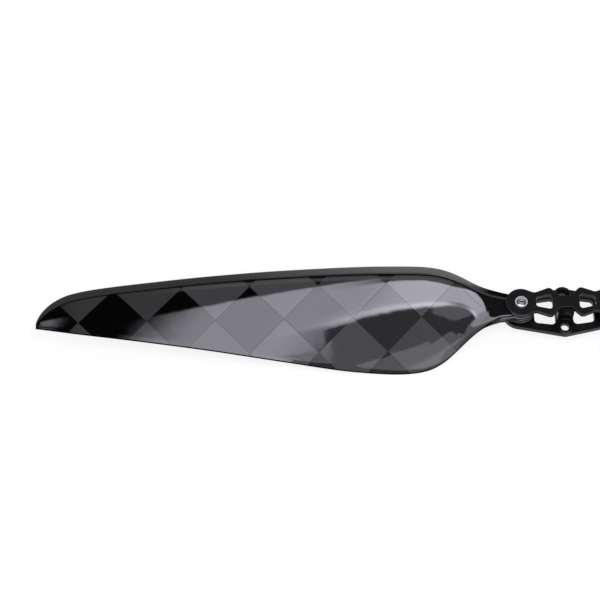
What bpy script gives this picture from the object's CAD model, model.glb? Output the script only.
# %% [markdown]
# # A folding carbon propeller
#
# This lesson dresses the plain working model of a two-blade folding propeller: a black hub of two
# plates and a post, and two glossy carbon blades that swing on upright screws.
# The working model comes in as a fixed frame. Every visible piece is then made finer around it.

import math

import bmesh
import bpy
from mathutils import Matrix, Vector


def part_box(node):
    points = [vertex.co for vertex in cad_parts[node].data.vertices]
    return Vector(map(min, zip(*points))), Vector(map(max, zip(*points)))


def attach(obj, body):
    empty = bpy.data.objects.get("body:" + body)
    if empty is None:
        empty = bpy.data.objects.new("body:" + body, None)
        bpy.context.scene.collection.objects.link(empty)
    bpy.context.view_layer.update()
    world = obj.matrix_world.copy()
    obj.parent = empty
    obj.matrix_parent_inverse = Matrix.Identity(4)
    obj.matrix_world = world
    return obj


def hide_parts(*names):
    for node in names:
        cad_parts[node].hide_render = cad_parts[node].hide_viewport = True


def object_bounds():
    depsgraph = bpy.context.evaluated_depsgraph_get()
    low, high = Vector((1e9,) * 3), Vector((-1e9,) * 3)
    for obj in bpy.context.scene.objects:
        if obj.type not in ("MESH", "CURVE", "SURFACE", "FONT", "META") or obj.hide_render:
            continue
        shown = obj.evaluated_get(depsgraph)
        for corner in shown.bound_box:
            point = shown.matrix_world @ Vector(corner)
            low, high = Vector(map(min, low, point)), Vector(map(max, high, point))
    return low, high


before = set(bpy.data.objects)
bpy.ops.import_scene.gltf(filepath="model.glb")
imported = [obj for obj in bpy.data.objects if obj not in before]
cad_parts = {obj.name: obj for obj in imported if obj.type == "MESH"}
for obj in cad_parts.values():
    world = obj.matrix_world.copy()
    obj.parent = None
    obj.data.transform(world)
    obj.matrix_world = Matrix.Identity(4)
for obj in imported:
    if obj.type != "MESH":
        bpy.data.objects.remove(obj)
cad_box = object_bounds()
MM = 0.001
TAU = 2 * math.pi
print("frame nodes:", len(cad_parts), "size mm:", [round(v / MM, 1) for v in cad_box[1] - cad_box[0]])

# %% [markdown]
# ## The camera
#
# The object lies flat and the camera looks down on its left half from 60 degrees up, square to the
# span, from far off with a long lens, so that lines stay almost parallel. Placing the camera first
# means that every later choice can be judged through it. A slight roll tips the hub's end upwards.

# %% Camera
VIEW_TARGET = Vector((-190.6, 10.4, 9.7)) * MM
VIEW_DISTANCE = 1.35
VIEW_ELEVATION = math.radians(60.0)
VIEW_ROLL = math.radians(-1.1)
VIEW_WIDTH = 434.2 * MM
SENSOR = 36.0


def add_camera():
    data = bpy.data.cameras.new("main_camera")
    data.sensor_width = SENSOR
    data.lens = SENSOR * VIEW_DISTANCE / VIEW_WIDTH
    data.clip_start = 0.05
    data.clip_end = 60.0
    camera = bpy.data.objects.new("main_camera", data)
    bpy.context.scene.collection.objects.link(camera)
    back = Vector((0, -math.cos(VIEW_ELEVATION), math.sin(VIEW_ELEVATION)))
    camera.location = VIEW_TARGET + back * VIEW_DISTANCE
    turn = Matrix.Rotation(math.pi / 2 - VIEW_ELEVATION, 4, 'X') @ Matrix.Rotation(VIEW_ROLL, 4, 'Z')
    camera.rotation_euler = turn.to_euler()
    bpy.context.scene.camera = camera
    return camera


main_camera = add_camera()
print("lens mm:", round(main_camera.data.lens, 1))

# %% [markdown]
# ## Places read from the frame
#
# Levels and centres come from the working model's own boxes, so a piece made here cannot drift away
# from the part that it stands for. Everything is kept in millimetres and scaled once, at the end.

# %% Levels and centres
def node_box(name):
    low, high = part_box(name)
    return low / MM, high / MM


sleeve_low, sleeve_high = node_box("right_pivot_sleeve")
plate_low, plate_high = node_box("hub_bottom_plate")
cap_low, cap_high = node_box("hub_top_plate")
post_low, post_high = node_box("hub_centre_post")
head_low, head_high = node_box("right_pivot_screw")
washer_low, washer_high = node_box("right_screw_washer")
blade_low, blade_high = node_box("right_blade")

PIVOT_X = (sleeve_low.x + sleeve_high.x) / 2
SLEEVE_RADIUS = (sleeve_high.x - sleeve_low.x) / 2
ROTOR_RADIUS = blade_high.x
STACK_GAP = 0.15
GAP_FLOOR = sleeve_low.z - STACK_GAP
GAP_CEILING = cap_low.z
TOP_FACE = cap_high.z
BLADE_LEVEL = (GAP_FLOOR + GAP_CEILING) / 2
BOSS_TOP = plate_high.z
HEAD_TOP = head_high.z
print("pivot at x", round(PIVOT_X, 2))
print("plate faces at", [round(level, 2) for level in (GAP_FLOOR, GAP_CEILING, TOP_FACE)])

# %% [markdown]
# ## Outlines
#
# Machined plates are drawn in plan first, as straight lines joined by arcs. Curve objects could hold
# such a drawing, but a plain list of points is easier to read and to reuse for plates, windows and
# the post. One helper gives an arc and the other rounds each corner of a polygon with its own radius.

# %% Outline tools
def arc(centre, radius, start, end, count):
    """Points on an arc, angles in degrees."""
    angles = [math.radians(start + (end - start) * step / count) for step in range(count + 1)]
    return [(centre[0] + radius * math.cos(a), centre[1] + radius * math.sin(a)) for a in angles]


def rounded(corners, steps=8):
    """A closed outline from corners (x, y, radius). A radius of 0 keeps the corner as it is."""
    points = []
    for index, (x, y, radius) in enumerate(corners):
        here = Vector((x, y))
        if radius == 0:
            points.append((x, y))
            continue
        before = (Vector(corners[index - 1][:2]) - here).normalized()
        after = (Vector(corners[(index + 1) % len(corners)][:2]) - here).normalized()
        half = before.angle(after) / 2
        centre = here + (before + after).normalized() * radius / math.sin(half)
        first = here + before * radius / math.tan(half) - centre
        last = here + after * radius / math.tan(half) - centre
        sweep = first.angle_signed(last)
        for step in range(steps + 1):
            spoke = first.copy()
            spoke.rotate(Matrix.Rotation(-sweep * step / steps, 2))
            points.append(tuple(centre + spoke))
    return points


# %% [markdown]
# ## Slabs and turned shapes
#
# The real pieces are either cut from flat stock or turned on a lathe, and these helpers work the same
# way. A slab is one face on a plan outline, extruded upwards. A turned shape is half a profile spun
# round the upright axis, with its seam merged so that the solid is closed.

# %% Solid tools
def prism(outline, low, high):
    """A slab on a plan outline: one face, extruded upwards."""
    bm = bmesh.new()
    face = bm.faces.new([bm.verts.new((x, y, low)) for x, y in outline])
    risen = bmesh.ops.extrude_face_region(bm, geom=[face])["geom"]
    tops = [item for item in risen if isinstance(item, bmesh.types.BMVert)]
    bmesh.ops.translate(bm, vec=(0, 0, high - low), verts=tops)
    return bm


def turned(profile, steps=72):
    """A closed (radius, height) profile spun once round the upright axis."""
    bm = bmesh.new()
    verts = [bm.verts.new((radius, 0, height)) for radius, height in profile]
    edges = [bm.edges.new((verts[i - 1], verts[i])) for i in range(len(verts))
             if profile[i - 1][0] > 0 or profile[i][0] > 0]
    bmesh.ops.spin(bm, geom=verts + edges, cent=(0, 0, 0), axis=(0, 0, 1), dvec=(0, 0, 0),
                   angle=TAU, steps=steps, use_merge=True, use_duplicate=False)
    return bm


def rod(radius, low, high, steps=72):
    return turned([(0, low), (radius, low), (radius, high), (0, high)], steps)


def move(bm, place=(0, 0, 0), turn=0.0):
    """Turn a bmesh about the upright axis, then carry it to its place."""
    bmesh.ops.rotate(bm, cent=(0, 0, 0), matrix=Matrix.Rotation(turn, 3, 'Z'), verts=bm.verts)
    bmesh.ops.translate(bm, vec=place, verts=bm.verts)
    return bm


# %% [markdown]
# ## From a shape to a finished piece
#
# Shapes are worked out in millimetres and become objects at the origin, unturned and unscaled, which
# is how they travel best. Holes are cut by a Boolean that is baked at once, so that no cutter is left
# behind. A real machined edge is always broken a little, and that thin bevel is what catches the
# light, so a bevel is asked for on every piece made here but the blades. Its clamp keeps it from
# crossing itself, and narrows the whole bevel to suit the shortest edge. The plates lose nearly all
# of theirs: it measures 0.07 mm on the top plate and nothing on the bottom plate, where it leaves
# collapsed faces. The last helper ties a piece to the body that it moves with.

# %% Object tools
WELD_DISTANCE = 0.0005
BEVEL_SHARP_DEGREES = 32.0
SHADE_SHARP_DEGREES = 40


def to_object(bm, name):
    """Weld, face outwards, scale from millimetres and link as an object at the origin."""
    bmesh.ops.remove_doubles(bm, verts=bm.verts, dist=WELD_DISTANCE)
    bmesh.ops.recalc_face_normals(bm, faces=bm.faces)
    bmesh.ops.scale(bm, vec=(MM, MM, MM), verts=bm.verts)
    mesh = bpy.data.meshes.new(name)
    bm.to_mesh(mesh)
    bm.free()
    obj = bpy.data.objects.new(name, mesh)
    bpy.context.scene.collection.objects.link(obj)
    return obj


def bake_modifiers(obj):
    """Keep the evaluated mesh and drop the modifiers."""
    depsgraph = bpy.context.evaluated_depsgraph_get()
    baked = bpy.data.meshes.new_from_object(obj.evaluated_get(depsgraph))
    obj.modifiers.clear()
    old = obj.data
    obj.data = baked
    baked.name = obj.name
    bpy.data.meshes.remove(old)


def carve(obj, cutters, operation='DIFFERENCE'):
    """Cut (or unite) bmesh solids with an object, one after another, and bake the result."""
    for number, cutter in enumerate(cutters):
        tool = to_object(cutter, f"cutter_{number}")
        boolean = obj.modifiers.new("carve", 'BOOLEAN')
        boolean.operation = operation
        boolean.object = tool
        bake_modifiers(obj)
        bpy.data.objects.remove(tool, do_unlink=True)
    return obj


def soften_edges(obj, width, segments=3):
    """Break every sharp edge: one segment makes a flat chamfer, more make a round."""
    bevel = obj.modifiers.new("broken_edges", 'BEVEL')
    bevel.width = width * MM
    bevel.segments = segments
    bevel.limit_method = 'ANGLE'
    bevel.angle_limit = math.radians(BEVEL_SHARP_DEGREES)
    bevel.use_clamp_overlap = True
    bake_modifiers(obj)
    obj.data.shade_smooth()
    obj.data.set_sharp_from_angle(angle=math.radians(SHADE_SHARP_DEGREES))
    return obj


def finish_piece(obj, look, body, node):
    """Give a piece its material, its body, the working part it stands for and its finish."""
    obj.data.materials.clear()
    obj.data.materials.append(look)
    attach(obj, body)
    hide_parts(node)
    print(f"{obj.name}: {len(obj.data.polygons)} faces on {body}")
    return obj


# %% [markdown]
# ## Shorthand for shader nodes
#
# A finish is a small network of nodes. It could be wired by hand in the editor, but a script needs
# the same few moves again and again: add a node, feed a socket, map a range, mix two colours. This
# class gives each move a short name, so the finishes below read like recipes.

# %% Node helpers
class Graph:
    """Short names for adding and linking shader nodes."""

    def __init__(self, name):
        self.material = bpy.data.materials.new(name)
        self.material.use_nodes = True
        self.tree = self.material.node_tree
        self.shader = self.tree.nodes["Principled BSDF"]

    def node(self, kind, inputs=None, **settings):
        made = self.tree.nodes.new(kind)
        for key, value in settings.items():
            setattr(made, key, value)
        for key, value in (inputs or {}).items():
            self.feed(made, key, value)
        return made

    def feed(self, made, key, value):
        if isinstance(value, bpy.types.NodeSocket):
            self.tree.links.new(value, made.inputs[key])
        else:
            made.inputs[key].default_value = value

    def math(self, operation, one, two=0.0, three=0.0):
        made = self.node('ShaderNodeMath', {0: one, 1: two, 2: three}, operation=operation)
        return made.outputs[0]

    def ramp(self, value, low, high, start=0.0, end=1.0):
        made = self.node('ShaderNodeMapRange', {"Value": value, "From Min": low, "From Max": high,
                                                "To Min": start, "To Max": end})
        return made.outputs["Result"]

    def soft(self, value, low, high, start=0.0, end=1.0):
        made = self.node('ShaderNodeMapRange', {"Value": value, "From Min": low, "From Max": high,
                                                "To Min": start, "To Max": end},
                         interpolation_type='SMOOTHSTEP')
        return made.outputs["Result"]

    def mix(self, factor, one, two):
        made = self.node('ShaderNodeMix', data_type='RGBA')
        self.feed(made, 0, factor)
        self.feed(made, 6, one)
        self.feed(made, 7, two)
        return made.outputs[2]

    def plain(self, **values):
        for key, value in values.items():
            self.shader.inputs[key.replace("_", " ")].default_value = value


def grey(level, warmth=0.0):
    return (level * (1 + warmth), level, level * (1 - warmth), 1.0)


# %% [markdown]
# ## The weave of the carbon
#
# The cloth is woven from flat tows about 35 mm wide, over and under at 45 degrees to the span, so the
# blade shows large diamonds. An image of a weave would blur close up. A checker, turned by 45 degrees
# on the blade's own map of span and chord, stays crisp at any distance. Noise stretched along each
# tow gives its fibres, a random number for each tow tells it from its neighbours, and a thin seam
# marks where one tow goes under the next.

# %% Weave
DIAMOND_HALF = 24.7 * MM
DIAMOND_SPAN_START = 103.5 * MM
DIAMOND_CHORD_START = -5.3 * MM
TOW_WIDTH = DIAMOND_HALF * math.sqrt(2)
FINE_FIBRE, LONG_FIBRE = 70.0, 2.0
SEAM_WIDTH = 0.014
print("carbon tows are", round(TOW_WIDTH / MM, 1), "mm wide")


def tow_map(g, place):
    """The span-and-chord map, turned and scaled so that each tow crossing is one unit square."""
    along = (DIAMOND_SPAN_START + DIAMOND_CHORD_START) / (2 * DIAMOND_HALF)
    across = (DIAMOND_CHORD_START - DIAMOND_SPAN_START) / (2 * DIAMOND_HALF)
    return g.node('ShaderNodeMapping', {"Vector": place, "Location": (-along, -across, 0.5),
                                        "Rotation": (0, 0, -math.pi / 4),
                                        "Scale": (1 / TOW_WIDTH, 1 / TOW_WIDTH, 0)}).outputs[0]


def laid_noise(g, tows, stretch):
    laid = g.node('ShaderNodeMapping', {"Vector": tows, "Scale": stretch}).outputs[0]
    return g.node('ShaderNodeTexNoise', {"Vector": laid, "Scale": 1.0, "Detail": 3.0}).outputs["Fac"]


def weave_masks(g, tows):
    """Which tow is on top, its fibres, its own random colour and value, and the seams."""
    over = g.node('ShaderNodeTexChecker', {"Vector": tows, "Scale": 1.0}).outputs["Fac"]
    one_way = laid_noise(g, tows, (LONG_FIBRE, FINE_FIBRE, 1.0))
    other_way = laid_noise(g, tows, (FINE_FIBRE, LONG_FIBRE, 1.0))
    cell = g.node('ShaderNodeVectorMath', {0: tows}, operation='FLOOR').outputs[0]
    chance = g.node('ShaderNodeTexWhiteNoise', {"Vector": cell}, noise_dimensions='3D').outputs
    parts = g.node('ShaderNodeSeparateXYZ', {0: tows})
    edges = [g.math('PINGPONG', parts.outputs[axis], 0.5) for axis in (0, 1)]
    seam = g.ramp(g.math('MINIMUM', *edges), 0.0, SEAM_WIDTH, 1.0, 0.0)
    return over, g.mix(over, one_way, other_way), chance, seam


# %% [markdown]
# ## The edges and the root of the carbon
#
# Along the leading edge lies a folded-over strip of cloth, with a dark line behind it, and the
# trailing edge is sealed by another line. A second map measures in from both edges, so each of these
# keeps its true width while the blade tapers. At the root the cloth ends, and the side wall shows
# the stacked plies as pale streaks, which are noise squeezed flat in height.

# %% Edge and root masks
NOSE_BAND = 6.2 * MM
NOSE_LINE = 1.0 * MM
NOSE_STRIPE = (9.3 * MM, 2.2 * MM)
TAIL_LINE = 0.9 * MM
ROOT_FADE = (0.060, 0.085)
ROOT_SHEEN = (0.054, 0.068)
STRIPE_FADE = (0.255, 0.300)
STREAK_START = (0.006, 0.012)
STREAK_EDGES = (0.50, 0.62)
WALL_SLOPE = (0.45, 0.75)
PLY_STRETCH = (60.0, 60.0, 900.0)


def stripe_mask(g, from_nose, span):
    """A soft pale stripe just behind the leading edge, from the neck to beyond mid-span."""
    middle, half = NOSE_STRIPE
    off = g.math('ABSOLUTE', g.math('SUBTRACT', from_nose, middle))
    stripe = g.math('MULTIPLY', g.soft(off, 0.0, half, 0.65, 0.0), g.ramp(span, *ROOT_FADE, 0.0, 1.0))
    return g.math('MULTIPLY', stripe, g.ramp(span, *STRIPE_FADE, 1.0, 0.0))


def bare_mask(g, from_nose, from_tail, at_root):
    """The dark lines by both edges, and the uncoated nose of the root."""
    line = g.math('COMPARE', from_nose, NOSE_BAND + NOSE_LINE / 2, NOSE_LINE / 2)
    tail = g.math('LESS_THAN', from_tail, TAIL_LINE)
    sheath = g.math('MULTIPLY', at_root, g.ramp(from_nose, NOSE_BAND * 0.6, NOSE_BAND, 1.0, 0.0))
    return g.math('MAXIMUM', g.math('MAXIMUM', line, tail), sheath)


def ply_streaks(g, from_nose, at_root):
    """Pale streaks on the upright side wall of the root."""
    here = g.node('ShaderNodeTexCoord').outputs["Object"]
    plies = g.node('ShaderNodeMapping', {"Vector": here, "Scale": PLY_STRETCH}).outputs[0]
    ply = g.node('ShaderNodeTexNoise', {"Vector": plies, "Scale": 1.0, "Detail": 2.0}).outputs["Fac"]
    normal = g.node('ShaderNodeNewGeometry').outputs["True Normal"]
    upright = g.node('ShaderNodeSeparateXYZ', {0: normal}).outputs[2]
    wall = g.math('MULTIPLY', g.ramp(g.math('ABSOLUTE', upright), *WALL_SLOPE, 1.0, 0.0), at_root)
    pale = g.math('MULTIPLY', g.ramp(ply, *STREAK_EDGES), g.ramp(from_nose, *STREAK_START))
    return g.math('MULTIPLY', wall, pale)


# %% [markdown]
# ## Glossy carbon
#
# A tow that runs one way throws light back, and its neighbour that runs the other way stays black. A
# deep clear coat lies over both and does the mirroring, so nearly all of the gloss belongs to the
# coat and the cloth below is almost matt. The coat is thinner on the strip and at the seams. Each
# tow lies a hair out of level, so the coat's normal leans a little from tow to tow, and a mirrored
# edge breaks where it crosses a seam.

# %% Carbon finish
LIT_TOWS = (grey(0.026, -0.03), grey(0.044, -0.03))
FIBRE_SHADE = grey(0.014)
BLACK_TOW = grey(0.0008, -0.05)
ROOT_BLACK = grey(0.005, -0.06)
SEAM_SHADE = grey(0.010)
STRIPE_SHADE = grey(0.055)
STRIP_SHADES = (grey(0.044), grey(0.002))
LINE_BLACK = grey(0.002)
PLY_SHADE = grey(0.16)
TIP_FADE = (0.350, 0.376)
BAND_FADE = (0.12, 0.25)
STRIP_DULLNESS = 0.45
SEAM_DULLNESS = 0.35
TOW_LEAN = 0.007
COAT_RIPPLE = (0.9, 0.9, 1.0)
COAT_RIPPLE_HEIGHT = 0.00010


def leaning_coat(g, tows, chance):
    """The coat's normal: a slow ripple, and a small lean that differs from tow to tow."""
    ripple = laid_noise(g, tows, COAT_RIPPLE)
    middle = (0.5, 0.5, 0.5)
    tilt = g.node('ShaderNodeVectorMath', {0: chance["Color"], 1: middle}, operation='SUBTRACT').outputs[0]
    lean = g.node('ShaderNodeVectorMath', {0: tilt, "Scale": TOW_LEAN}, operation='SCALE').outputs[0]
    facing = g.node('ShaderNodeBump', {"Strength": 1.0, "Distance": COAT_RIPPLE_HEIGHT,
                                       "Height": ripple}).outputs[0]
    leaning = g.node('ShaderNodeVectorMath', {0: facing, 1: lean}, operation='ADD').outputs[0]
    return g.node('ShaderNodeVectorMath', {0: leaning}, operation='NORMALIZE').outputs[0]


def make_carbon():
    g = Graph("gloss_carbon")
    place = g.node('ShaderNodeUVMap', uv_map="weave").outputs["UV"]
    span = g.node('ShaderNodeSeparateXYZ', {0: place}).outputs[0]
    rims = g.node('ShaderNodeSeparateXYZ', {0: g.node('ShaderNodeUVMap', uv_map="rims").outputs["UV"]})
    from_nose, from_tail = rims.outputs[0], rims.outputs[1]
    tows = tow_map(g, place)
    over, strands, chance, seam = weave_masks(g, tows)
    at_root = g.ramp(span, *ROOT_SHEEN, 1.0, 0.0)

    lit = g.mix(chance["Value"], *LIT_TOWS)
    lit = g.mix(g.ramp(strands, 0.3, 0.7, 0.0, 0.3), lit, FIBRE_SHADE)
    ends = g.math('MULTIPLY', g.ramp(span, *ROOT_FADE, 0.0, 1.0), g.ramp(span, *TIP_FADE, 1.0, 0.25))
    black = g.mix(at_root, BLACK_TOW, ROOT_BLACK)
    tow = g.mix(g.math('MULTIPLY', g.math('SUBTRACT', 1.0, over), ends), black, lit)
    cloth = g.mix(g.math('MULTIPLY', seam, 0.5), tow, SEAM_SHADE)
    cloth = g.mix(stripe_mask(g, from_nose, span), cloth, STRIPE_SHADE)

    nose = g.ramp(from_nose, NOSE_BAND, NOSE_BAND * 0.96, 0.0, 1.0)
    banded = g.mix(nose, cloth, g.mix(g.ramp(span, *BAND_FADE), *STRIP_SHADES))
    bare = bare_mask(g, from_nose, from_tail, at_root)
    edged = g.mix(bare, banded, LINE_BLACK)
    g.feed(g.shader, "Base Color", g.mix(ply_streaks(g, from_nose, at_root), edged, PLY_SHADE))
    g.feed(g.shader, "Roughness", g.ramp(strands, 0.2, 0.8, 0.34, 0.5))
    bump = g.node('ShaderNodeBump', {"Strength": 0.03, "Distance": 0.0002, "Height": strands}).outputs[0]
    g.feed(g.shader, "Normal", bump)

    strip = g.math('MULTIPLY', nose, g.ramp(span, *BAND_FADE, 0.0, STRIP_DULLNESS))
    dull = g.math('MAXIMUM', bare, g.math('MAXIMUM', strip, g.math('MULTIPLY', seam, SEAM_DULLNESS)))
    g.feed(g.shader, "Coat Weight", g.math('SUBTRACT', 1.0, dull))
    g.feed(g.shader, "Coat Normal", leaning_coat(g, tows, chance))
    g.plain(Coat_Roughness=0.035, Coat_IOR=1.5, IOR=1.4, Specular_IOR_Level=0.0)
    return g.material


carbon = make_carbon()
print("carbon nodes:", len(carbon.node_tree.nodes))

# %% [markdown]
# ## Hub black and the metals
#
# The hub plates are black with a fine satin blast, and a chamfer is burnished a little, so an edge
# that has one shows as a thin pale line. The screws are bright stainless, the sleeves are bronze, and
# the slip washers are a tan bearing plastic. Separate networks could be drawn for each, but all of
# them are one satin surface with a fine grain and a slow drift, so one recipe serves for all. The
# upper chamfers are picked out by their slope, as few other faces look up at 45 degrees.

# %% Hub and hardware finishes
CHAMFER_SLOPE = math.cos(math.pi / 4)
CHAMFER_SPREAD = (0.05, 0.15)
CHAMFER_SHINE = 1.2
FINE_GRAIN = 4200.0
SLOW_DRIFT = 90.0
GRAIN_DEPTH = 0.1 * MM
ROUGHNESS_SPREAD = 0.06


def make_satin(name, colour, rough, metallic=0.0, grain=0.02, level=0.5, worn=None):
    g = Graph(name)
    here = g.node('ShaderNodeTexCoord').outputs["Object"]
    fine = g.node('ShaderNodeTexNoise', {"Vector": here, "Scale": FINE_GRAIN, "Detail": 3.0}).outputs["Fac"]
    slow = g.node('ShaderNodeTexNoise', {"Vector": here, "Scale": SLOW_DRIFT, "Detail": 4.0}).outputs["Fac"]
    darker = tuple(v * 0.8 for v in colour[:3]) + (1.0,)
    lighter = tuple(v * 1.2 for v in colour[:3]) + (1.0,)
    tone = g.mix(slow, darker, lighter)
    if worn:
        upright = g.node('ShaderNodeSeparateXYZ', {0: g.node('ShaderNodeNewGeometry').outputs["True Normal"]})
        off = g.math('ABSOLUTE', g.math('SUBTRACT', upright.outputs[2], CHAMFER_SLOPE))
        edge = g.ramp(off, *CHAMFER_SPREAD, 1.0, 0.0)
        tone = g.mix(edge, tone, worn)
        level = g.math('MULTIPLY_ADD', edge, CHAMFER_SHINE, level)
    g.feed(g.shader, "Specular IOR Level", level)
    g.feed(g.shader, "Base Color", tone)
    blend = g.math('MULTIPLY_ADD', fine, 0.5, g.math('MULTIPLY', slow, 0.5))
    g.feed(g.shader, "Roughness", g.ramp(blend, 0.3, 0.7, rough - ROUGHNESS_SPREAD, rough + ROUGHNESS_SPREAD))
    bump = g.node('ShaderNodeBump', {"Strength": grain, "Distance": GRAIN_DEPTH, "Height": fine}).outputs[0]
    g.feed(g.shader, "Normal", bump)
    g.plain(Metallic=metallic)
    return g.material


hub_black = make_satin("hub_plate", (0.0024, 0.0023, 0.0030), 0.3, level=0.2, worn=grey(0.008, -0.04))
steel = make_satin("stainless_steel", (0.36, 0.36, 0.37), 0.12, 1.0)
dark_steel = make_satin("washer_steel", (0.06, 0.06, 0.065), 0.3, 1.0)
bronze = make_satin("bearing_bronze", (0.45, 0.30, 0.16), 0.35, 1.0)
slip = make_satin("slip_washer", (0.26, 0.23, 0.15), 0.42)
print("satin finishes:", [look.name for look in (hub_black, steel, dark_steel, bronze, slip)])

# %% [markdown]
# ## Bottom plate
#
# The bottom plate carries the pull of both blades and bolts to the motor. Its outline is the shortest
# belt round two end circles and two boss circles, which is the lightest way to join them. It is cut
# from slab, so it is made as a slab with two bosses added and windows and stepped holes carved out,
# rather than as a box that is sculpted. Its edges stay sharp, as the clamp takes the chamfer away.

# %% Bottom plate
END_RADIUS = plate_high.x - PIVOT_X
MOUNT_HOLE_Y = 12.5
BOSS_RADIUS = plate_high.y - MOUNT_HOLE_Y
MOUNT_HOLE_RADIUS = 2.95
MOUNT_SEAT_RADIUS = 4.8
MOUNT_SEAT_Z = 3.2
SHANK_HOLE = 2.8
NUT_POCKET = 4.8
NUT_POCKET_TOP = 3.4
DOWEL_HOLE = 1.2
DOWEL_X = 3.5
POST_SCREW_HOLE = 1.45
POST_SCREW_Y = 3.2
SINK_RADIUS = 2.5
BOSS_MARGIN = 0.08
BOSS_FOOT = 1.0
BOTTOM_WINDOW = (6.4, 21.6, 11.0, 8.9, 3.0)
PLATE_CHAMFER = 0.45
CUT_LOW, CUT_HIGH = -1, 8


def both(make, place):
    """The same cutter at a place and at its half-turn twin."""
    return [move(make(), (place[0], place[1], 0)), move(make(), (-place[0], -place[1], 0), math.pi)]


def belt_outline():
    slant = math.atan2(MOUNT_HOLE_Y, PIVOT_X)
    narrowing = math.asin((END_RADIUS - BOSS_RADIUS) / math.hypot(PIVOT_X, MOUNT_HOLE_Y))
    side = math.degrees(math.pi / 2 - slant + narrowing)
    belt = arc((PIVOT_X, 0), END_RADIUS, -side, side, 40)
    belt += arc((0, MOUNT_HOLE_Y), BOSS_RADIUS, side, 180 - side, 12)
    belt += arc((-PIVOT_X, 0), END_RADIUS, 180 - side, 180 + side, 40)
    return belt + arc((0, -MOUNT_HOLE_Y), BOSS_RADIUS, 180 + side, 360 - side, 12)


def window(inner_x, outer_x, inner_half, outer_half, radius):
    corners = [(inner_x, -inner_half, radius), (outer_x, -outer_half, radius),
               (outer_x, outer_half, radius), (inner_x, inner_half, radius)]
    return rounded(corners)


def stepped(lower, upper, low, step, high):
    return turned([(0, low), (lower, low), (lower, step), (upper, step), (upper, high), (0, high)])


plate = to_object(prism(belt_outline(), 0, GAP_FLOOR), "bottom_plate")
bosses = [move(rod(BOSS_RADIUS - BOSS_MARGIN, BOSS_FOOT, BOSS_TOP), (0, y, 0))
          for y in (-MOUNT_HOLE_Y, MOUNT_HOLE_Y)]
carve(plate, bosses, 'UNION')
sink = [(0, CUT_LOW), (SINK_RADIUS, CUT_LOW), (SINK_RADIUS, 0.3), (POST_SCREW_HOLE, 1.5),
        (POST_SCREW_HOLE, CUT_HIGH), (0, CUT_HIGH)]
cutters = both(lambda: prism(window(*BOTTOM_WINDOW), CUT_LOW, CUT_HIGH), (0, 0))
cutters += both(lambda: stepped(MOUNT_HOLE_RADIUS, MOUNT_SEAT_RADIUS, CUT_LOW, MOUNT_SEAT_Z, CUT_HIGH + 1),
                (0, MOUNT_HOLE_Y))
cutters += both(lambda: stepped(NUT_POCKET, SHANK_HOLE, CUT_LOW, NUT_POCKET_TOP, CUT_HIGH + 1), (PIVOT_X, 0))
cutters += both(lambda: rod(DOWEL_HOLE, CUT_LOW, CUT_HIGH, 32), (DOWEL_X, 0))
cutters += both(lambda: turned(sink, 40), (0, POST_SCREW_Y))
carve(plate, cutters)
soften_edges(plate, PLATE_CHAMFER, 1)
finish_piece(plate, hub_black, "hub", "hub_bottom_plate")

# %% [markdown]
# ## Top plate
#
# The top plate closes the hub and holds the upper end of each pivot, so it is round where the bottom
# plate is round and only as wide between as it needs to be. A waist, wide shoulders and a notch that
# clears each mounting boss give its outline. Only one quarter of the corners is written down, and
# the rest are its mirror images, which keeps the two ends alike.

# %% Top plate
CAP_END = cap_high.x - PIVOT_X
CAP_END_SWEEP = 116
HEAD_RECESS_RADIUS = 5.5
RECESS_FLOOR = washer_low.z - 0.1
WAIST = (22.0, 7.4, 5.0)
SHOULDER = (10.9, 11.8, 3.2)
NOTCH = (3.8, 4.6, 1.4)
TOP_WINDOW = (9.7, 21.4, 6.4, 3.6, 2.2)
CAP_CHAMFER = 0.7


def cap_outline():
    quarter = [WAIST, SHOULDER, NOTCH]
    sweep = CAP_END_SWEEP
    corners = [(x, y, 0) for x, y in arc((PIVOT_X, 0), CAP_END, -sweep, sweep, 60)] + quarter
    corners += [(-x, y, radius) for x, y, radius in reversed(quarter)]
    corners += [(x, y, 0) for x, y in arc((-PIVOT_X, 0), CAP_END, 180 - sweep, 180 + sweep, 60)]
    corners += [(-x, -y, radius) for x, y, radius in quarter]
    corners += [(x, -y, radius) for x, y, radius in reversed(quarter)]
    return rounded(corners)


cap = to_object(prism(cap_outline(), GAP_CEILING, TOP_FACE), "top_plate")
cutters = both(lambda: prism(window(*TOP_WINDOW), GAP_CEILING - 1, TOP_FACE + 1), (0, 0))
cutters += both(lambda: stepped(SHANK_HOLE, HEAD_RECESS_RADIUS, GAP_CEILING - 1, RECESS_FLOOR, TOP_FACE + 1),
                (PIVOT_X, 0))
cutters += both(lambda: rod(DOWEL_HOLE, GAP_CEILING - 1, GAP_CEILING + 2, 32), (DOWEL_X, 0))
carve(cap, cutters)
soften_edges(cap, CAP_CHAMFER, 1)
finish_piece(cap, hub_black, "hub", "hub_top_plate")

# %% [markdown]
# ## Centre post
#
# The post keeps the plates apart in the middle, where neither pivot does. It is a small block that is
# scooped out round each boss, so that a screwdriver reaches the mounting screws. A block less two
# round cutters gives that shape with true arcs, which a hand-bent outline would not.

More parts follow.
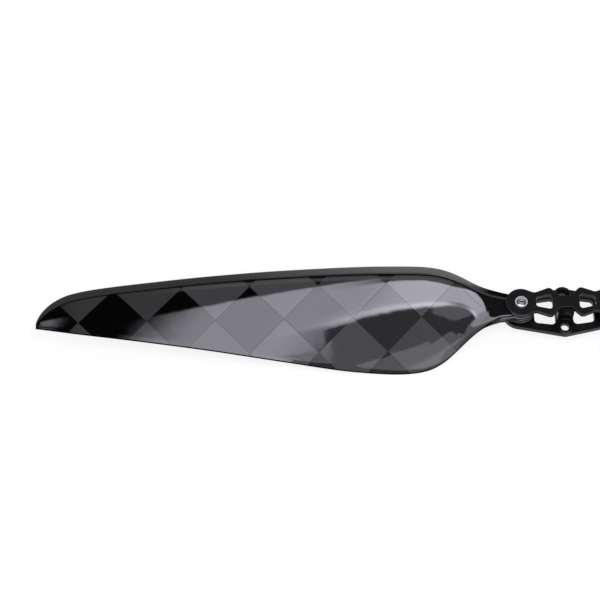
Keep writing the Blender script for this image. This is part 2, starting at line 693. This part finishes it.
# %% Centre post
POST_CORNER = 0.8
SCOOP_GAP = 0.35
POST_SCREW_TOP = 11.5
POST_BEVEL = 0.2
POST_CORNERS = [(x, y, POST_CORNER) for x, y in ((post_high.x, post_low.y), (post_high.x, post_high.y),
                                                 (post_low.x, post_high.y), (post_low.x, post_low.y))]
post = to_object(prism(rounded(POST_CORNERS), post_low.z, post_high.z), "centre_post")
cutters = both(lambda: rod(BOSS_RADIUS + SCOOP_GAP, 0, TOP_FACE, 96), (0, MOUNT_HOLE_Y))
cutters += both(lambda: rod(DOWEL_HOLE, 0, TOP_FACE, 32), (DOWEL_X, 0))
cutters += both(lambda: rod(POST_SCREW_HOLE, 0, POST_SCREW_TOP, 32), (0, POST_SCREW_Y))
carve(post, cutters)
soften_edges(post, POST_BEVEL)
finish_piece(post, hub_black, "hub", "hub_centre_post")

# %% [markdown]
# ## Pivot screws
#
# Each blade swings on a button-head screw: a low dome with a flat crown, a fine turned groove round
# the crown, a hexagon socket with a small lead-in chamfer, and a plain shank down to the nut. The
# dome is a quarter ellipse spun round the axis, because a real head is turned in the same way. The
# groove matters more than its size suggests: it splits the highlight into rings.

# %% Screws
HEAD_RADIUS = (head_high.x - head_low.x) / 2
HEAD_HEIGHT = 2.4
HEAD_FLOOR = HEAD_TOP - HEAD_HEIGHT
SHANK_RADIUS = 2.5
SHANK_POINT = 0.4
DOME_STEPS = 12
SOCKET_FLATS = 2.9
SOCKET_DEPTH = 1.6
LEAD_IN = 0.45
SCREW_BEVEL = 0.06
CROWN_DROP = 1.9
CROWN_SHAPE = 0.75
GROOVE_RADIUS = 2.45
GROOVE_HALF = 0.22
GROOVE_DEPTH = 0.286


def make_screw(side, x):
    crown = HEAD_RADIUS - CROWN_DROP
    dome = [(crown + CROWN_DROP * math.cos(a), HEAD_TOP - CROWN_DROP * CROWN_SHAPE * (1 - math.sin(a)))
            for a in [math.pi / 2 * step / DOME_STEPS for step in range(DOME_STEPS + 1)]]
    shank = [(0, head_low.z), (SHANK_RADIUS - SHANK_POINT, head_low.z),
             (SHANK_RADIUS, head_low.z + SHANK_POINT), (SHANK_RADIUS, HEAD_FLOOR), (HEAD_RADIUS, HEAD_FLOOR)]
    groove = [(GROOVE_RADIUS + GROOVE_HALF, HEAD_TOP), (GROOVE_RADIUS, HEAD_TOP - GROOVE_DEPTH),
              (GROOVE_RADIUS - GROOVE_HALF, HEAD_TOP)]
    profile = shank + dome + groove + [(0, HEAD_TOP)]
    screw = to_object(move(turned(profile), (x, 0, 0)), side + "_button_screw")
    corner = SOCKET_FLATS / math.sqrt(3)
    hexagon = prism(arc((0, 0), corner, 0, 300, 5), HEAD_TOP - SOCKET_DEPTH, HEAD_TOP + 1)
    lead = turned([(0, HEAD_TOP - LEAD_IN), (corner - 0.35, HEAD_TOP - LEAD_IN),
                   (corner + 0.55, HEAD_TOP + LEAD_IN), (0, HEAD_TOP + LEAD_IN)])
    carve(screw, [move(hexagon, (x, 0, 0)), move(lead, (x, 0, 0))])
    soften_edges(screw, SCREW_BEVEL, 2)
    return finish_piece(screw, steel, "hub", side + "_pivot_screw")


for side, x in (("left", -PIVOT_X), ("right", PIVOT_X)):
    make_screw(side, x)

# %% [markdown]
# ## The curves of a blade
#
# A blade goes from a round slab that swings on the pivot, through a twisted neck, to a thin wing.
# Its two edges, its thickness and its twist each follow a curve along the span. A designer steers
# such a curve with a few points, each a distance from the rotor axis and a value, and the curve
# between them must be smooth and must not overshoot, so a monotone cubic joins them. A gloss surface
# shows every change of curvature, so the sampled values are evened out once more before use.

# %% Blade curves
LEADING_EDGE = [(46, 11.6), (54, 13.9), (66, 19.9), (78, 26.3), (90, 30.4), (106, 32.3), (145, 33.1),
                (200, 32.0), (250, 29.6), (300, 25.7), (338, 21.7), (358, 17.6), (369, 12.0),
                (376, 5.3), (380, -1.4), (381, -4.6)]
TRAILING_EDGE = [(46, -9.7), (54, -11.2), (62, -15.5), (76, -28.3), (88, -39.5), (100, -45.0), (118, -46.7),
                 (150, -44.7), (200, -37.1), (260, -27.1), (310, -19.7), (350, -14.0), (381, -9.1)]
THICKNESS = [(46, 9.4), (60, 8.2), (80, 6.6), (110, 5.2), (190, 4.0), (300, 2.5), (360, 1.6), (381, 0.9)]
TWIST = [(46, 0.0), (54, 13.0), (62, 17.5), (74, 19.4), (90, 21.0), (112, 20.6), (163, 17.5), (264, 10.8),
         (330, 6.4), (381, 4.5)]
ROOT_RADIUS = 10.4
ROOT_THICK = 9.4
ROOT_SQUARENESS = 8
NECK_START = 46.0
ROOT_BLEND = (48, 85)
SECTION_POINTS = 112
WING_STEPS = 190
TIP_CROWDING = 1.7
CAMBER = 0.018
NOSE_DROOP = 1.5
EDGE_HALF_THICK = 0.22


def along(curve, where):
    """Smooth curve through a few points, without overshoot (monotone cubic)."""
    spans = [(b[1] - a[1]) / (b[0] - a[0]) for a, b in zip(curve, curve[1:])]
    slopes = [spans[0]] + [0.0 if one * two <= 0 else 2 * one * two / (one + two)
                           for one, two in zip(spans, spans[1:])] + [spans[-1]]
    index = 0
    while index < len(spans) - 1 and where > curve[index + 1][0]:
        index += 1
    width = curve[index + 1][0] - curve[index][0]
    t = min(max((where - curve[index][0]) / width, 0), 1)
    from_here = (2 * t ** 3 - 3 * t ** 2 + 1) * curve[index][1]
    leaving = (t ** 3 - 2 * t ** 2 + t) * width * slopes[index]
    from_next = (3 * t ** 2 - 2 * t ** 3) * curve[index + 1][1]
    arriving = (t ** 3 - t ** 2) * width * slopes[index + 1]
    return from_here + leaving + from_next + arriving


def smooth_step(low, high, value):
    t = min(max((value - low) / (high - low), 0), 1)
    return t * t * (3 - 2 * t)


def evened(values, rounds):
    """Average each value with its neighbours, ends held, so that curvature changes slowly."""
    for _ in range(rounds):
        middle = [(a + 2 * b + c) / 4 for a, b, c in zip(values, values[1:], values[2:])]
        values = [values[0]] + middle + [values[-1]]
    return values


# %% [markdown]
# ## The section of a blade
#
# Cut across, the wing is a thin cambered aerofoil with its fullest part well forward, here the
# classic four-digit thickness formula. Its leading edge droops in a narrow nose, which mirrors a
# different part of the room and so shows as a pale band. The root is a plain slab with rounded
# corners. Both shapes are written with the same number of points, so that one can be blended into
# the other along the neck without a seam.

# %% Blade sections
ROOT_STEPS = 22
ROOT_STEP_DEGREES = 5.4
ROOT_FIRST_DEGREES = 174
FULL_NOSE_THICKNESS = 5.0
EVENING_ROUNDS = ((LEADING_EDGE, 3), (TRAILING_EDGE, 12), (THICKNESS, 16), (TWIST, 24))


def section_point(angle, lead, trail, thick, squareness):
    """A point of the section, from the trailing edge over the top to the leading edge and back."""
    chord = lead - trail
    behind = (1 + math.cos(angle)) / 2
    belly = (0.2969 * math.sqrt(behind) - 0.126 * behind - 0.3516 * behind ** 2
             + 0.2843 * behind ** 3 - 0.1036 * behind ** 4) * 5 * thick
    side = math.copysign(1, math.sin(angle)) if abs(math.sin(angle)) > 0.0001 else 0
    rise = CAMBER * chord * 4 * behind * (1 - behind)
    nose = max(0.0, 1 - behind * chord / (NOSE_BAND / MM))
    droop = NOSE_DROOP * min(thick / FULL_NOSE_THICKNESS, 1.0) * nose
    wing = Vector((lead - chord * behind, rise - droop + side * max(belly, EDGE_HALF_THICK)))
    across, up = math.cos(angle), math.sin(angle)
    norm = (abs(across) ** ROOT_SQUARENESS + abs(up) ** ROOT_SQUARENESS) ** (1 / ROOT_SQUARENESS)
    slab = Vector(((lead + trail) / 2 - across / norm * chord / 2, up / norm * thick / 2))
    return wing.lerp(slab, squareness)


def blade_stations():
    """(radius, lead, trail, thickness, squareness, twist) for each section, from the hub outwards."""
    stations = []
    for step in range(ROOT_STEPS):
        angle = math.radians(ROOT_FIRST_DEGREES - step * ROOT_STEP_DEGREES)
        half = ROOT_RADIUS * math.sin(angle)
        stations.append((PIVOT_X + ROOT_RADIUS * math.cos(angle), half, -half, ROOT_THICK, 1.0, 0.0))
    radii = [ROTOR_RADIUS - (ROTOR_RADIUS - NECK_START) * (1 - step / WING_STEPS) ** TIP_CROWDING
             for step in range(WING_STEPS + 1)]
    values = [evened([along(curve, radius) for radius in radii], rounds) for curve, rounds in EVENING_ROUNDS]
    for index, radius in enumerate(radii):
        lead, trail, thick, twist = (value[index] for value in values)
        squareness = 1 - smooth_step(*ROOT_BLEND, radius)
        stations.append((radius, lead, trail, thick, squareness, math.radians(twist)))
    return stations


# %% [markdown]
# ## Growing the blades
#
# The real blade is laid up in a mould, skin by skin. Here it is a tube that grows outwards: a ring of
# points is extruded again and again, and each new ring is moved onto its section. That keeps the
# quads in even rows, so that reflections run clean down the span, which a subdivided box would not
# do. Each point also notes how far it lies along the span and from both edges, for the carbon's maps.
# The second blade is the first one turned by half a turn, as on every two-blade propeller.

# %% Blade building
PIVOT_BORE_GAP = 0.3
BLADE_SHARP_DEGREES = 50


print("sections:", len(blade_stations()), "widest chord mm:",
      round(max(lead - trail for _, lead, trail, *_ in blade_stations()), 1))


def next_ring(bm, loop):
    """Extrude the open end of the tube and return the new ring in the old ring's order."""
    edges = [bm.edges.get((loop[i - 1], loop[i])) for i in range(len(loop))]
    grown = bmesh.ops.extrude_edge_only(bm, edges=edges)["geom"]
    fresh = {item for item in grown if isinstance(item, bmesh.types.BMVert)}
    return [next(edge.other_vert(vert) for edge in vert.link_edges if edge.other_vert(vert) in fresh)
            for vert in loop]


def make_blade(side, turn):
    bm = bmesh.new()
    weave = bm.loops.layers.uv.new("weave")
    rims = bm.loops.layers.uv.new("rims")
    loop = list(bmesh.ops.create_circle(bm, segments=SECTION_POINTS, radius=1.0)["verts"])
    marks = {}
    for number, (radius, lead, trail, thick, squareness, twist) in enumerate(blade_stations()):
        loop = next_ring(bm, loop) if number else loop
        for index, vert in enumerate(loop):
            spot = section_point(TAU * index / SECTION_POINTS, lead, trail, thick, squareness)
            vert.co = (-radius, spot.x * math.cos(twist) - spot.y * math.sin(twist),
                       BLADE_LEVEL + spot.x * math.sin(twist) + spot.y * math.cos(twist))
            marks[vert] = ((radius * MM, spot.x * MM), ((lead - spot.x) * MM, (spot.x - trail) * MM))
    bmesh.ops.holes_fill(bm, edges=[edge for edge in bm.edges if edge.is_boundary], sides=0)
    for face in bm.faces:
        for corner in face.loops:
            corner[weave].uv, corner[rims].uv = marks[corner.vert]
    move(bm, (0, 0, 0), turn)
    blade = to_object(bm, side + "_carbon_blade")
    pivot = PIVOT_X * math.cos(turn + math.pi)
    carve(blade, [move(rod(SLEEVE_RADIUS + PIVOT_BORE_GAP, 0, TOP_FACE), (pivot, 0, 0))])
    blade.data.shade_smooth()
    blade.data.set_sharp_from_angle(angle=math.radians(BLADE_SHARP_DEGREES))
    return finish_piece(blade, carbon, side + "_wing", side + "_blade")


for side, turn in (("left", 0.0), ("right", math.pi)):
    make_blade(side, turn)

# %% [markdown]
# ## Inner hardware
#
# Sleeves, thrust washers, press nuts, dowels and post screws sit inside the hub, where little of them
# shows. They could be made again in finer steps, but the working model already holds their true
# shape, so they are carried over as they are and only get their true metals and plastics.

# %% Finishes on the working parts
INNER_FINISHES = {"pivot_sleeve": bronze, "thrust_washer": slip, "press_nut": steel,
                  "screw_washer": dark_steel, "post_screw": steel, "dowel_pin": steel}
carried_over = 0

for name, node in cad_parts.items():
    for ending, look in INNER_FINISHES.items():
        if name.endswith(ending):
            node.data.materials.clear()
            node.data.materials.append(look)
            carried_over += 1
print("working parts finished:", carried_over)

# %% [markdown]
# ## Floor and room
#
# A glossy black thing is lit by what it mirrors, so the room is designed before any lamp. The pale
# floor runs out of sight and glows softly, which gives the even light ground of a catalogue picture.
# The sky is bright near the horizon, where the blade's nose picks up its pale band, and falls to
# dark overhead, so that the gloss stays black wherever nothing is hung.

# %% Floor and room
FLOOR_SIZE = 8.0
FLOOR_Z = cad_box[0].z - 0.3 * MM
FLOOR_GLOW = 0.82
HORIZON_GLOW, ZENITH_GLOW = 1.25, 0.01
SKY_FADE = (0.76, 0.86)


def make_floor():
    bm = bmesh.new()
    bmesh.ops.create_grid(bm, x_segments=1, y_segments=1, size=FLOOR_SIZE / 2 / MM)
    bmesh.ops.translate(bm, vec=(0, 0, FLOOR_Z / MM), verts=bm.verts)
    floor = to_object(bm, "studio_floor")
    g = Graph("pale_floor")
    here = g.node('ShaderNodeTexCoord').outputs["Object"]
    drift = g.node('ShaderNodeTexNoise', {"Vector": here, "Scale": 3.0}).outputs["Fac"]
    g.feed(g.shader, "Base Color", g.mix(drift, grey(0.12), grey(0.14)))
    g.plain(Roughness=0.8, Emission_Color=(1, 1, 1, 1), Emission_Strength=FLOOR_GLOW)
    floor.data.materials.append(g.material)
    return floor


def make_room():
    world = bpy.data.worlds.new("studio_room")
    world.use_nodes = True
    tree = world.node_tree
    here = tree.nodes.new('ShaderNodeTexCoord')
    split = tree.nodes.new('ShaderNodeSeparateXYZ')
    fade = tree.nodes.new('ShaderNodeMapRange')
    fade.interpolation_type = 'SMOOTHSTEP'
    settings = {"From Min": SKY_FADE[0], "From Max": SKY_FADE[1],
                "To Min": HORIZON_GLOW, "To Max": ZENITH_GLOW}
    for key, value in settings.items():
        fade.inputs[key].default_value = value
    tree.links.new(here.outputs["Generated"], split.inputs[0])
    tree.links.new(split.outputs["Z"], fade.inputs["Value"])
    tree.links.new(fade.outputs["Result"], tree.nodes["Background"].inputs["Strength"])
    tree.nodes["Background"].inputs["Color"].default_value = (1, 1, 1, 1)
    bpy.context.scene.world = world


make_floor()
make_room()
print("floor at z", round(FLOOR_Z / MM, 2), "mm")

# %% [markdown]
# ## Light panels
#
# What the blade shows as a pale sweep is a soft panel overhead, seen in its clear coat. Lamps would
# light the blade but give the coat nothing to mirror, so flat glowing panels are hung instead. Each
# one fades out at its edges, or its rim would draw a hard line on the gloss.
# A left and a right panel overlap to make the long sweep, a narrow bright bar closes its near side,
# and a large dim panel fills towards the camera. Two dim cards hang in front of them, as a
# camera and its stand would, and leave the dark patch at the blade's widest part. A small panel
# beyond the tip picks out its lower corner.

# %% Light panels
PANEL_TINT = (0.985, 0.965, 1.085, 1.0)


def make_panel(name, centre, size, spin, strength, feather):
    """A flat glowing panel that faces down, with edges that fade to clear."""
    bm = bmesh.new()
    bmesh.ops.create_grid(bm, x_segments=1, y_segments=1, size=0.5)
    layer = bm.loops.layers.uv.new("face")
    for face in bm.faces:
        for corner in face.loops:
            corner[layer].uv = (corner.vert.co.x * size[0], corner.vert.co.y * size[1])
    bmesh.ops.scale(bm, vec=(size[0] / MM, size[1] / MM, 1), verts=bm.verts)
    move(bm, [value / MM for value in centre], math.radians(spin))
    panel = to_object(bm, name)
    g = Graph(name + "_glow")
    spot = g.node('ShaderNodeSeparateXYZ', {0: g.node('ShaderNodeUVMap', uv_map="face").outputs[0]})
    reach = [g.math('ABSOLUTE', spot.outputs[axis]) for axis in (0, 1)]
    fades = [g.soft(reach[axis], size[axis] / 2 - feather[axis], size[axis] / 2, 1.0, 0.0) for axis in (0, 1)]
    glow = g.node('ShaderNodeEmission', {"Color": PANEL_TINT, "Strength": strength}).outputs[0]
    clear = g.node('ShaderNodeBsdfTransparent').outputs[0]
    veil = g.node('ShaderNodeMixShader', {0: g.math('MULTIPLY', *fades), 1: clear, 2: glow}).outputs[0]
    g.tree.links.new(veil, g.tree.nodes["Material Output"].inputs["Surface"])
    g.tree.nodes.remove(g.shader)
    panel.data.materials.append(g.material)
    panel.visible_camera = False
    return panel


make_panel("left_panel", (-0.2575, -0.09, 0.905), (0.295, 0.42), 0.0, 5.2, (0.10, 0.025))
make_panel("right_panel", (0.06, -0.0625, 0.90), (0.60, 0.255), 0.0, 8.4, (0.16, 0.03))
make_panel("near_panel", (-0.17, -0.53, 0.92), (1.0, 0.84), 0.0, 2.1, (0.06, 0.03))
make_panel("near_bar", (0.06, -0.58, 0.9), (0.16, 0.14), 0.0, 3.5, (0.04, 0.04))
make_panel("camera_card", (-0.080, -0.305, 0.89), (0.094, 0.25), 14.0, 0.6, (0.003, 0.003))
make_panel("hood_card", (-0.035, -0.33, 0.888), (0.08, 0.24), 37.0, 0.6, (0.003, 0.003))
make_panel("bright_bar", (-0.06, -0.18, 0.88), (0.26, 0.06), -10.0, 13.0, (0.12, 0.028))
make_panel("tip_kicker", (-0.55, 0.15, 0.9), (0.11, 0.15), 0.0, 3.8, (0.045, 0.05))

bpy.context.scene.view_settings.view_transform = 'Standard'
